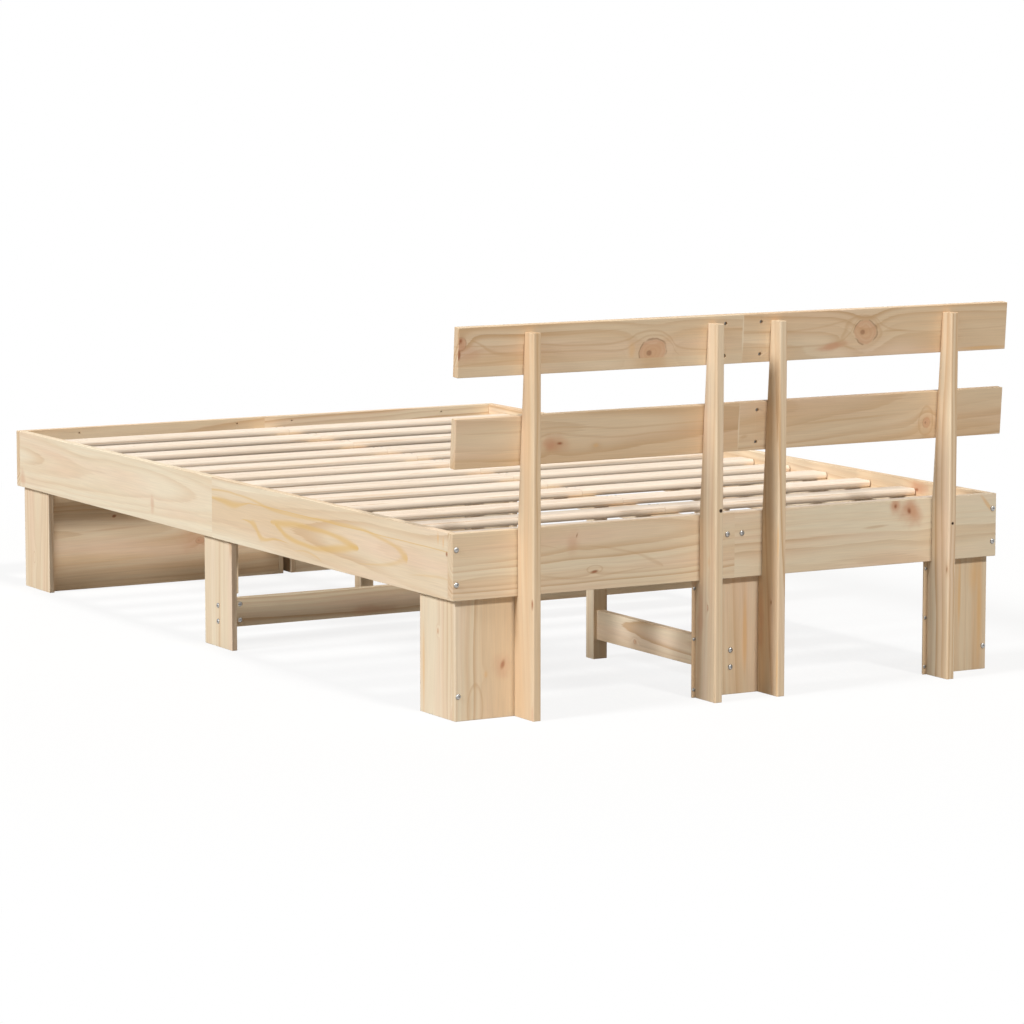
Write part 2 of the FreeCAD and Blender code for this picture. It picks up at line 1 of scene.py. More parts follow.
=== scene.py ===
# Looks for a small double bed of unfinished pine: eased boards with grain and knots, zinc-plated
# fasteners, a pale floor and soft studio light. Sizes are in metres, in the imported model's own frame,
# unless a comment says otherwise.
import math
import random
from typing import NamedTuple

import bmesh
import bpy
import numpy as np
from mathutils import Matrix, Vector


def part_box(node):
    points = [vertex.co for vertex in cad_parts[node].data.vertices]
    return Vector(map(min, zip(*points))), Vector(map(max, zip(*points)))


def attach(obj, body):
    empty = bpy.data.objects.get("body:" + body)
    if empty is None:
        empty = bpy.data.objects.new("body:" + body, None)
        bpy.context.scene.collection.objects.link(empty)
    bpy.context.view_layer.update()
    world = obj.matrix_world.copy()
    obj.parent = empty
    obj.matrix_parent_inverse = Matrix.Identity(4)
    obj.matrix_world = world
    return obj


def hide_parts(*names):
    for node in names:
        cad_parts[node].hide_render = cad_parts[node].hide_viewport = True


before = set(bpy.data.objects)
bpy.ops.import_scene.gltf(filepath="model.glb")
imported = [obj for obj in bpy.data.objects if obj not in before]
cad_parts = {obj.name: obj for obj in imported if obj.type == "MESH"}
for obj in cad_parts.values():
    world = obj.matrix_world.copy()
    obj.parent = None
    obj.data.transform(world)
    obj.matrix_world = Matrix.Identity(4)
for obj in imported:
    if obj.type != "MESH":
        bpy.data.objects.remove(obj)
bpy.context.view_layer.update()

MILLIMETRE = 0.001

# Camera: angles in degrees, lens and sensor in millimetres
CAMERA_PLACE = (-4.2551, -7.56095, 1.36)
CAMERA_AZIMUTH = -29.808
CAMERA_DROP = 7.326
CAMERA_LENS = 144.96
CAMERA_SENSOR = 36
CAMERA_REACH = 120

# Light: an even surround and three lamps. A lamp has the direction that its light comes from, how wide it
# looks from the bed, in degrees, the share of full daylight that it gives a surface that faces it, and a tint
WORLD_LIGHT = 0.18
WORLD_TINT = (1.0, 0.84, 0.64, 1)
WHITE = (1, 1, 1, 1)
LAMPS = {
    "key_light": {
        "place": (-0.836, -0.067, 0.545),
        "spread": 15.0,
        "share": 0.9,
        "tint": (0.96, 0.98, 1.0),
    },
    "front_light": {
        "place": (0.032, -0.694, 0.719),
        "spread": 7.0,
        "share": 0.6,
        "tint": (1.0, 0.99, 0.96),
    },
    "back_light": {
        "place": (0.49, 0.833, 0.26),
        "spread": 40.0,
        "share": 0.16,
        "tint": (1.0, 1.0, 1.0),
    },
}

# Floor: its paint as the camera sees it and as it lights the bed, how much of the bed's shadow shows on it,
# and the distances from the bed's middle between which that shadow fades out
FLOOR_REACH = 30
FLOOR_CELLS = 8
FLOOR_SEEN = (0.88, 0.88, 0.88, 1)
FLOOR_BOUNCE = (0.36, 0.36, 0.36, 1)
FLOOR_SHADOW = 0.16
FLOOR_FADE = (1.5, 2.8)

# Pine colours
PALE = (0.82, 0.712, 0.54)
TAN = (0.715, 0.515, 0.325)
ROSE = (0.82, 0.61, 0.46)
LATE = (0.58, 0.37, 0.20)
SLAT_PALE = (0.88, 0.785, 0.675)
SLAT_TAN = (0.84, 0.715, 0.58)
SLAT_ROSE = (0.90, 0.73, 0.60)
KNOT = (0.62, 0.335, 0.205)
RUST = (0.36, 0.14, 0.07)
BARK = (0.22, 0.085, 0.04)
PITCH = (0.05, 0.03, 0.02)
RESIN = (0.78, 0.47, 0.20)
GOLD = (0.72, 0.47, 0.17)
# Painted highlight: a pale line on the headboard joint that stands in for light on eased edges
PAINTED_JOINT_HIGHLIGHT = (0.90, 0.80, 0.64)
END_GRAIN = (0.94, 0.90, 0.86, 1)

# How tan each board is, from 0, pale, to 1: most lie in between
BOARD_TAN = 0.38
BOARD_TANS = {
    "upper_board_left": 0.78,
    "upper_board_right": 0.78,
    "lower_board_left": 0.82,
    "lower_board_right": 0.78,
    "head_rail_left": 0.32,
    "head_rail_right": 0.2,
    "left_rail_head": 0.42,
    "left_rail_foot": 0.1,
    "head_leg_left_back": 0.5,
    "head_leg_right_back": 0.7,
    "centre_leg_back": 0.6,
    "outer_upright_left": 0.88,
    "outer_upright_right": 0.75,
    "inner_upright_left": 0.55,
    "inner_upright_right": 0.5,
    # Partly painted shade: the foot panel is darker to stand in for the shadow that falls on it under the bed
    "foot_leg_left_panel": 0.85,
    "right_rail_foot": 0.7,
    "right_rail_head": 0.55,
}

# Noise in the pine: its scale along the grain and across it, and its detail
FIELDS = {
    "wander": (1.5, 7.0, 2.0),
    "fibre": (14.0, 420.0, 3.0),
    "ragged": (30.0, 30.0, 2.0),
    "flowing": (6.0, 30.0, 0.5),
    "broken": (48.0, 48.0, 2.0),
    "unbroken": (4.0, 16.0, 2.0),
    "patch": (1.3, 11.0, 2.0),
    "blush": (2.0, 18.0, 2.0),
    "wave": (9.0, 9.0, 1.0),
}
NOISE_MIDDLE = 0.5

# How far apart boards, the solids of one node and glued strips lie in the noise
BOARD_SHIFT = 40
ISLAND_SHIFT = 30.0
STRIP_SHIFT = 11.0

# Rings: their width, how far they wander, and how far a board may lie from the heart of its tree
RING_WIDTH = 0.0085
WANDER = 0.026
HEART_ACROSS = 0.07
HEART_DEPTH = (0.05, 0.12)
HEART_TILT = 0.035

# Broad bands of tone along the rings, and the rose that comes and goes
BAND_ALONG = 0.9
BAND_RINGS = 0.42
BAND_DETAIL = 4.0
BAND_CONTRAST = 2.4
BLUSH_EDGE = (0.46, 0.8)
BLUSH_SHARE = 0.6

# Ring lines: where a line starts and ends in its ring, how its strength spreads, and the patches it shows in
RING_START = (0.3, 0.92)
RING_END = (0.92, 1.0)
RING_RARITY = 2.0
RING_STRENGTH = (0.7, 0.14)
PATCH_EDGE = (0.28, 0.56)

# Fibres: how far they stir the rings, their shade as gain and base, and the relief that they leave
FIBRE_STIR = 0.2
FIBRE_SHADE = (0.22, 0.89)
FIBRE_RELIEF = 0.0003
LINE_RELIEF = -0.8
PINE_BUMP = 0.35
PINE_ROUGHNESS = (0.2, 0.6)
PINE_SPECULAR = 0.12

# How squarely a surface faces across the board to be a broad face, or along the grain to be an end
BROAD_FACE = (0.5, 0.8)
END_FACE = (0.6, 0.9)

# Boards glued up from two strips, with the height of the glue line in millimetres
GLUE_LINES = {"upper_board_left": 662}

# Boards whose node holds several, with their axes: along the grain, across the face, through the board
SHARED_GRAIN = {
    "slats_left": "xyz",
    "slats_right": "xyz",
    "joint_battens": "xzy",
    "splice_blocks": "zyx",
}


class Style(NamedTuple):
    """How a mark shows: its tint, the strength of its parts, how many rings it bends, and its outline."""

    tint: tuple
    core: float = 0.0
    rim: float = 0.0
    line: float = 0.0
    halo: float = 0.0
    bend: float = 0.0
    flowing: bool = False


STYLES = {
    "knot": Style(RESIN, core=0.62, rim=0.5, halo=0.25, bend=1.5),
    "red knot": Style(KNOT, core=0.7, rim=0.4, halo=0.3, bend=1.1),
    "spot": Style(RUST, halo=0.9, bend=0.4),
    "stain": Style(RESIN, halo=0.42, bend=0.3, flowing=True),
    "blush": Style(KNOT, halo=0.4, bend=0.2),
    "splash": Style(KNOT, halo=0.8, bend=0.5),
    "streak": Style(RESIN, halo=0.6, flowing=True),
    "thread": Style(LATE, halo=0.45, flowing=True),
    "arc": Style(LATE, line=0.4, bend=0.3, flowing=True),
    # A painted highlight: a pale line along the joint of the headboard halves, where eased edges would catch
    # the light
    "painted joint highlight": Style(PAINTED_JOINT_HIGHLIGHT, halo=0.5, flowing=True),
}

# Parts of a mark, by distance from its middle, with 1 at its edge. Pairs are where a part starts and is full,
# or is full and ends. The shade of the core's rings and the drawn share of the line are gain and base
CORE_EDGE = (0.82, 1.02)
CORE_RING = 0.16
CORE_SHADE = (2.4, 0.55)
RIM_START = (0.84, 0.97)
RIM_END = (0.97, 1.04)
PITH_OFFSET = 0.3
PITH_EDGE = (0.12, 0.26)
LINE_START = (0.72, 0.95)
LINE_END = (0.95, 1.06)
LINE_DRAWN = (0.8, 0.2)
HALO_WOBBLE = 1.2
HALO_EDGE = (0.15, 1.3)
BEND_FADE = -0.3

# How far the outline of a mark strays, and where in the noise it breaks off
MARK_WOBBLE = 0.7
BROKEN_EDGE = (0.36, 0.56)
UNBROKEN_EDGE = (0.25, 0.5)

# Marks on each board: style, place along the grain and across it, half length and half width, in millimetres,
# and the tilt of the length from the grain, in degrees. The headboard boards carry a painted highlight, a
# pale line at the joint in their middle
MARKS = {
    "upper_board_left": [
        ("blush", -600, 688, 30, 20, 0),
        ("red knot", -613, 706, 13, 12, 0),
        ("spot", -613, 711, 4, 5, 0),
        ("spot", -617, 684, 4, 9, 0),
        ("painted joint highlight", 0, 690, 1.6, 60, 0),
        ("knot", -199, 671, 30, 27, 0),
        ("stain", -246, 674, 9, 17, 0),
    ],
    "upper_board_right": [
        ("painted joint highlight", 0, 690, 1.6, 60, 0),
        ("knot", 283, 690, 27, 26, 0),
        ("splash", 205, 665, 44, 7, 9),
        ("arc", 272, 692, 48, 36, 12),
        ("thread", 350, 690, 30, 2, 0),
        ("streak", 560, 648, 62, 4, 0),
    ],
    "lower_board_left": [
        ("painted joint highlight", 0, 520, 1.6, 60, 0),
        ("blush", -402, 509, 28, 22, 0),
        ("splash", -414, 507, 14, 12, 0),
        ("spot", -395, 510, 6, 3, 0),
        ("stain", -316, 502, 7, 5, 0),
    ],
    "lower_board_right": [
        ("painted joint highlight", 0, 520, 1.6, 60, 0),
        ("red knot", 438, 505, 10, 13, 0),
        ("arc", 436, 512, 18, 28, 0),
        ("thread", 260, 522, 160, 3, 2),
        ("thread", 12, 500, 9, 4, 12),
    ],
    "head_rail_left": [
        ("blush", -357, 322, 16, 30, -12),
        ("spot", -351, 333, 2.5, 7, -20),
        ("spot", -312, 262, 8, 3, 8),
        ("arc", -312, 266, 20, 9, 0),
    ],
    "head_rail_right": [
        ("splash", 414, 328, 24, 29, 30),
        ("splash", 373, 343, 14, 15, 0),
        ("blush", 397, 334, 40, 20, -14),
        ("spot", 407, 330, 5, 7, 20),
        ("spot", 374, 342, 4, 5, 0),
        ("thread", 328, 305, 26, 2.5, 3),
        ("streak", 594, 335, 22, 4, -50),
    ],
    "left_rail_head": [
        ("streak", -936, 340, 5, 15, 0),
        ("streak", -956, 334, 4, 14, 0),
        ("spot", -969, 314, 4, 5, 0),
    ],
    "left_rail_foot": [
        ("blush", 318, 266, 9, 20, 0),
        ("blush", 1012, 250, 16, 24, 0),
    ],
    "right_rail_head": [
        ("splash", -748, 339, 36, 18, 0),
        ("spot", -744, 335, 6, 4, 0),
    ],
    "head_leg_left_back": [
        ("spot", 100, -504, 10, 5, 20),
        ("blush", 96, -508, 26, 20, 0),
        ("stain", 84, -540, 9, 6, 0),
        ("arc", 26, -563, 46, 17, 0),
    ],
    "head_leg_left_outer": [
        ("blush", 14, -968, 26, 9, 0),
        ("spot", 14, -971, 12, 3, 0),
        ("knot", 162, -912, 5, 3, 0),
        ("streak", 80, -856, 120, 6, 0),
    ],
    "head_leg_right_back": [
        ("streak", 130, 588, 88, 7, 0),
        ("streak", 143, 539, 70, 4, 0),
        ("stain", 190, 575, 40, 14, 0),
    ],
    "centre_leg_back": [
        ("streak", 122, 33, 90, 6, 0),
        ("stain", 143, -25, 14, 8, 0),
    ],
    "outer_upright_left": [
        ("spot", 220, -1044, 10, 3, 0),
        ("blush", 12, -1047, 18, 6, 0),
    ],
    "inner_upright_left": [
        ("red knot", 179, -1021, 7, 3.5, 0),
        ("stain", 268, -1024, 16, 6, 0),
        ("blush", 160, -996, 46, 10, 0),
    ],
    "inner_upright_right": [
        ("spot", 180, -1024, 6, 3, 0),
        ("streak", 302, -1047, 40, 4, 0),
        ("streak", 60, -1047, 80, 6, 0),
        ("blush", 140, -990, 60, 9, 0),
    ],
    "outer_upright_right": [
        ("spot", 219, -1043, 9, 3, 0),
    ],
    "foot_leg_left_panel": [
        ("spot", -437, 161, 5, 3, 12),
        ("red knot", -223, 92, 11, 8, 0),
        ("blush", -240, 96, 46, 26, 0),
        ("thread", -440, 132, 110, 3, 2),
    ],
    "foot_leg_left_outer": [("arc", 71, 981, 16, 9, 0)],
    "head_stretcher": [("knot", -642, 56, 6, 5, 0)],
    "cross_stretcher_left": [("blush", -245, 53, 50, 10, 0)],
}

# Small black knots on the edges of boards: place and radius, in millimetres, and the share that is full black
BLACK_KNOTS = {
    "inner_upright_left": [((-68.5, -1047.75, 368), 4.5)],
    "outer_upright_right": [((470, -1047.75, 309), 3.5)],
}
BLACK_KNOT_CORE = 0.6

# Veins that can be followed along a board: strength, and points along the grain, across it and the half width
# there, in millimetres
VEINS = {
    "left_rail_head": [
        (0.6, [(27, 311, 2), (-21, 310, 5), (-71, 307, 6), (-110, 312, 3), (-145, 319, 1)]),
        (0.5, [(27, 328, 2), (-137, 329, 2), (-242, 317, 3), (-360, 315, 3), (-513, 321, 3),
               (-624, 321, 3), (-697, 315, 3), (-769, 305, 4), (-811, 289, 8), (-818, 286, 0)]),
        (0.35, [(-616, 254, 0), (-697, 261, 2), (-769, 273, 4), (-812, 288, 7), (-819, 289, 0)]),
        (0.65, [(-241, 291, 0), (-297, 293, 6), (-359, 298, 5), (-437, 298, 4), (-512, 296, 4),
                (-565, 291, 6), (-606, 284, 5), (-620, 282, 0)]),
        (0.65, [(-262, 288, 0), (-284, 281, 5), (-312, 270, 5), (-390, 262, 4), (-467, 264, 5),
                (-542, 273, 7), (-606, 282, 5), (-620, 282, 0)]),
        (0.6, [(-108, 282, 0), (-150, 281, 3), (-172, 275, 7), (-192, 258, 7), (-208, 253, 4),
               (-264, 258, 2), (-327, 255, 0)]),
        (0.35, [(-340, 243, 0), (-436, 247, 2), (-470, 236, 0)]),
        (0.3, [(-820, 257, 0), (-930, 266, 2), (-972, 267, 1)]),
    ],
    "upper_board_left": [
        (0.4, [(-450, 699, 2), (-327, 691, 3), (-255, 699, 3), (-233, 709, 3), (-199, 712, 3),
               (-165, 700, 3), (-143, 680, 3), (-92, 673, 2), (-20, 671, 0)]),
        (0.35, [(-450, 685, 2), (-327, 680, 3), (-263, 681, 3), (-240, 692, 3), (-199, 704, 2),
                (-160, 688, 3), (-150, 672, 2), (-140, 664, 0)]),
        (0.45, [(-596, 712, 0), (-575, 704, 3), (-541, 687, 5), (-498, 681, 4), (-440, 682, 2),
                (-380, 676, 0)]),
        (0.3, [(-617, 664, 1), (-560, 668, 3), (-500, 670, 2), (-420, 668, 0)]),
        (0.3, [(-560, 720, 0), (-470, 716, 3), (-360, 714, 2), (-240, 722, 0)]),
    ],
    "upper_board_right": [
        (0.35, [(0, 672, 1), (120, 668, 3), (205, 670, 3), (246, 690, 3), (283, 722, 3),
                (322, 702, 3), (360, 690, 3), (470, 684, 2), (617, 690, 1)]),
        (0.3, [(0, 700, 1), (150, 702, 3), (240, 716, 2), (280, 731, 0)]),
    ],
    "head_rail_left": [
        (0.3, [(-617, 262, 0), (-540, 268, 3), (-440, 262, 3), (-330, 250, 3), (-250, 258, 2),
               (-120, 262, 0)]),
        (0.3, [(-330, 312, 0), (-280, 304, 3), (-220, 290, 3), (-180, 272, 6), (-160, 262, 0)]),
        (0.25, [(-617, 318, 0), (-540, 322, 2), (-420, 318, 2), (-385, 308, 0)]),
    ],
    "lower_board_left": [
        (0.3, [(-617, 540, 0), (-520, 536, 3), (-400, 540, 3), (-250, 532, 3), (-90, 536, 2),
               (0, 538, 0)]),
        (0.3, [(-440, 524, 0), (-410, 530, 3), (-370, 524, 3), (-280, 516, 3), (-160, 520, 2),
               (-20, 514, 0)]),
    ],
}

# Boards whose veins are bolder than drawn or of another tint than the ring lines
VEIN_BOLDNESS = {"left_rail_head": 1.6}
VEIN_TINTS = {"left_rail_head": GOLD}

# Veins: the widest half width that can be drawn, in millimetres, the least one, how far veins waver, and
# where they are full and fade out, as shares of the half width
VEIN_WIDEST = 16.0
VEIN_LEAST = 1e-5
VEIN_WANDER = 0.006
VEIN_EDGE = (0.1, 1.2)

# Zinc plating, plain and darker: the greys that its mottling runs between, then the scale and detail of its
# noise, its roughness as gain and base, and the relief of its brushing
ZINC = ((0.28, 0.275, 0.265), (0.50, 0.49, 0.475))
# The darker zinc is for the slat screws, so that their flush heads show as dark specks on the slats
DARK_ZINC = ((0.10, 0.10, 0.10), (0.22, 0.22, 0.21))
MOTTLE_SCALE = 420.0
MOTTLE_DETAIL = 4.0
SCRATCH_SCALE = 2600.0
SCRATCH_DETAIL = 2.0
ZINC_ROUGHNESS = (0.2, 0.3)
ZINC_RELIEF = 0.00004
ZINC_BUMP = 0.4

# Edges that are eased, and how far
EASE = 0.0011
EASE_STEPS = 2
EASE_ROUNDNESS = 0.5
EASE_LEAST_LENGTH = 0.008
SHARP_ANGLE = math.radians(40)
SHADE_ANGLE = math.radians(20)
WELD = 1e-5

# Where halves of a long board meet: the ends of their names, the axis across the joint and its place on it
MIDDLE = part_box("left_rail_head")[1][1]
BUTT_REACH = 0.0005
BUTT_JOINTS = (
    ("board_left", 0, 0.0),
    ("board_right", 0, 0.0),
    ("rail_left", 0, 0.0),
    ("rail_right", 0, 0.0),
    ("rail_head", 1, MIDDLE),
    ("rail_foot", 1, MIDDLE),
    ("slats_left", 0, 0.0),
    ("slats_right", 0, 0.0),
)

# Nodes of fasteners
BOLT_NODES = ("rail_bolts", "leg_bolts", "stretcher_bolts")
SCREW_NODES = ("frame_screws", "headboard_screws")
SLAT_SCREW_NODE = "slat_screws"
NUT_NODE = "barrel_nuts"
FASTENER_NODES = (*BOLT_NODES, *SCREW_NODES, SLAT_SCREW_NODE, NUT_NODE)

# Reading a fastener's solid: the share of the greatest radius that is still head, how near the tip the shank
# is measured, how much wider than the shank a head is, and the decimals that put solids in order
HEAD_LIKE = 0.95
TIP_REACH = 1e-4
HEAD_LEAST = 1.1
ORDER_DECIMALS = 4

# Heads: sides, steps of the dome, and shares of the head's height or radius
HEAD_SIDES = 48
DOME_STEPS = 6
DOME_RIM = 0.25
FLAT_RIM = 0.85
FOOT_RADIUS = 0.96
FOOT_HEIGHT = 0.06

# Driving recesses: size as a share of the head's radius, the collar round one, its taper and its floor, then
# the width of the arms of a cross and of a slot, and the least sine that they are divided by
HEXAGON_RECESS = 0.38
CROSS_RECESS = 0.5
SLAT_SCREW_RECESS = 0.55
NUT_RECESS = 0.7
RECESS_COLLAR = 1.35
RECESS_TAPER = 0.9
RECESS_FLOOR = 0.3
CROSS_ARM = 0.3
SLOT_ARM = 0.2
LEAST_SINE = 0.05

# Shanks: sides, the share without a thread, the pitch, the radius of the thread's root and of the tip as
# shares of the shank's, and where root and crest lie in one turn
SHANK_SIDES = 14
PLAIN_SHARE = 0.35
THREAD_PITCH = 0.0022
ROOT_RADIUS = 0.8
TIP_RADIUS = 0.7
ROOT_PLACE = 0.35
CREST_PLACE = 0.85

# Colour sockets of a mix node, by number because their names repeat
MIX_SHARE = 0
MIX_FIRST = 6
MIX_SECOND = 7
MIX_RESULT = 2


class Graph:
    """A node tree, with short ways to add and wire its nodes."""

    def __init__(self, tree):
        self.tree = tree
        tree.nodes.clear()

    def feed(self, socket, value):
        if isinstance(value, bpy.types.NodeSocket):
            self.tree.links.new(value, socket)
        else:
            socket.default_value = value

    def add(self, kind, inputs=None, **settings):
        node = self.tree.nodes.new(kind)
        for name, value in settings.items():
            setattr(node, name, value)
        for key, value in (inputs or {}).items():
            self.feed(node.inputs[key], value)
        return node

    def math(self, operation, *values):
        node = self.add("ShaderNodeMath", operation=operation)
        for socket, value in zip(node.inputs, values):
            self.feed(socket, value)
        return node.outputs[0]

    def vector(self, x, y, z):
        return self.add("ShaderNodeCombineXYZ", {"X": x, "Y": y, "Z": z}).outputs[0]

    def length(self, vector):
        return self.add("ShaderNodeVectorMath", {0: vector}, operation="LENGTH").outputs["Value"]

    def distance(self, first, second):
        inputs = {0: first, 1: second}
        return self.add("ShaderNodeVectorMath", inputs, operation="DISTANCE").outputs["Value"]

    def rise(self, value, low, high):
        """0 below low, 1 above high and smooth between."""
        inputs = {"Value": value, "From Min": low, "From Max": high}
        return self.add("ShaderNodeMapRange", inputs, interpolation_type="SMOOTHSTEP").outputs["Result"]

    def fall(self, value, low, high):
        """1 below low, 0 above high and smooth between."""
        return self.math("SUBTRACT", 1.0, self.rise(value, low, high))

    def noise(self, place, detail, scale=1.0):
        return self.add("ShaderNodeTexNoise", {"Vector": place, "Scale": scale, "Detail": detail}).outputs

    def curve(self, value, points):
        """A smooth curve through points whose places and heights run from 0 to 1."""
        node = self.add("ShaderNodeFloatCurve", {"Value": value})
        line = node.mapping.curves[0].points
        line[0].location = points[0]
        line[1].location = points[-1]
        for point in points[1:-1]:
            line.new(*point)
        node.mapping.update()
        return node.outputs["Value"]

    def mix(self, share, first, second, blend="MIX"):
        node = self.add("ShaderNodeMix", data_type="RGBA", blend_type=blend)
        self.feed(node.inputs[MIX_SHARE], share)
        self.feed(node.inputs[MIX_FIRST], first)
        self.feed(node.inputs[MIX_SECOND], second)
        return node.outputs[MIX_RESULT]

    def surface(self, looks, height, relief, strength):
        """End a material with a shader whose surface stands in relief by a height."""
        bump = self.add("ShaderNodeBump", {"Height": height, "Distance": relief, "Strength": strength})
        shader = self.add("ShaderNodeBsdfPrincipled", {**looks, "Normal": bump.outputs["Normal"]})
        self.add("ShaderNodeOutputMaterial", {"Surface": shader.outputs["BSDF"]})


def opaque(colour):
    """A colour with its alpha."""
    return (*colour, 1)


def new_material(name):
    """An empty node material and its graph."""
    material = bpy.data.materials.new(name)
    material.use_nodes = True
    return material, Graph(material.node_tree)


def is_slats(node):
    """Whether a node holds slats, which are paler than the boards."""
    return node.startswith("slats")


def make_mark_group():
    """The node group behind every mark on the pine: a turned oval with a ragged outline, as five masks."""
    group = bpy.data.node_groups.new("pine mark", "ShaderNodeTree")
    graph = Graph(group)
    for name in ("Along", "Across", "Wobble", "Break", "Half length", "Half width", "Cosine", "Sine"):
        group.interface.new_socket(name, in_out="INPUT", socket_type="NodeSocketFloat")
    for name in ("Core", "Rim", "Line", "Halo", "Bend"):
        group.interface.new_socket(name, in_out="OUTPUT", socket_type="NodeSocketFloat")
    given = graph.add("NodeGroupInput").outputs
    result = graph.add("NodeGroupOutput").inputs

    # Distance from the oval's middle, with 1 at its outline
    across_part = graph.math("MULTIPLY", given["Across"], given["Sine"])
    along_part = graph.math("MULTIPLY", given["Along"], given["Sine"])
    turned_along = graph.math("MULTIPLY_ADD", given["Along"], given["Cosine"], across_part)
    turned_across = graph.math("MULTIPLY", given["Across"], given["Cosine"])
    turned_across = graph.math("SUBTRACT", turned_across, along_part)
    length = graph.math("DIVIDE", turned_along, given["Half length"])
    width = graph.math("DIVIDE", turned_across, given["Half width"])
    square = graph.math("MULTIPLY_ADD", length, length, graph.math("MULTIPLY", width, width))
    distance = graph.math("ADD", graph.math("SQRT", square), given["Wobble"])

    # A knot's core with its own rings
    growth = graph.math("PINGPONG", distance, CORE_RING)
    core_shade = graph.math("MULTIPLY_ADD", growth, *CORE_SHADE)
    graph.feed(result["Core"], graph.math("MULTIPLY", graph.fall(distance, *CORE_EDGE), core_shade))

    # Its broken dark rim, and its pith off the middle
    rim = graph.math("MULTIPLY", graph.rise(distance, *RIM_START), graph.fall(distance, *RIM_END))
    off_pith = graph.math("POWER", graph.math("ADD", length, PITH_OFFSET), 2.0)
    pith_distance = graph.math("SQRT", graph.math("MULTIPLY_ADD", width, width, off_pith))
    pith = graph.fall(pith_distance, *PITH_EDGE)
    graph.feed(result["Rim"], graph.math("MAXIMUM", graph.math("MULTIPLY", rim, given["Break"]), pith))

    # A drawn outline, a halo and the reach of the bent rings
    outline = graph.math("MULTIPLY", graph.rise(distance, *LINE_START), graph.fall(distance, *LINE_END))
    drawn = graph.math("MULTIPLY_ADD", given["Break"], *LINE_DRAWN)
    graph.feed(result["Line"], graph.math("MULTIPLY", outline, drawn))
    halo_distance = graph.math("MULTIPLY_ADD", given["Wobble"], HALO_WOBBLE, distance)
    graph.feed(result["Halo"], graph.fall(halo_distance, *HALO_EDGE))
    graph.feed(result["Bend"], graph.math("EXPONENT", graph.math("MULTIPLY", square, BEND_FADE)))
    return group


def grain_axes(node):
    """The axes along a board's grain, across its face and through it, longest first unless listed."""
    if node in SHARED_GRAIN:
        return ["xyz".index(letter) for letter in SHARED_GRAIN[node]]
    low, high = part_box(node)
    return sorted(range(3), key=lambda axis: low[axis] - high[axis])


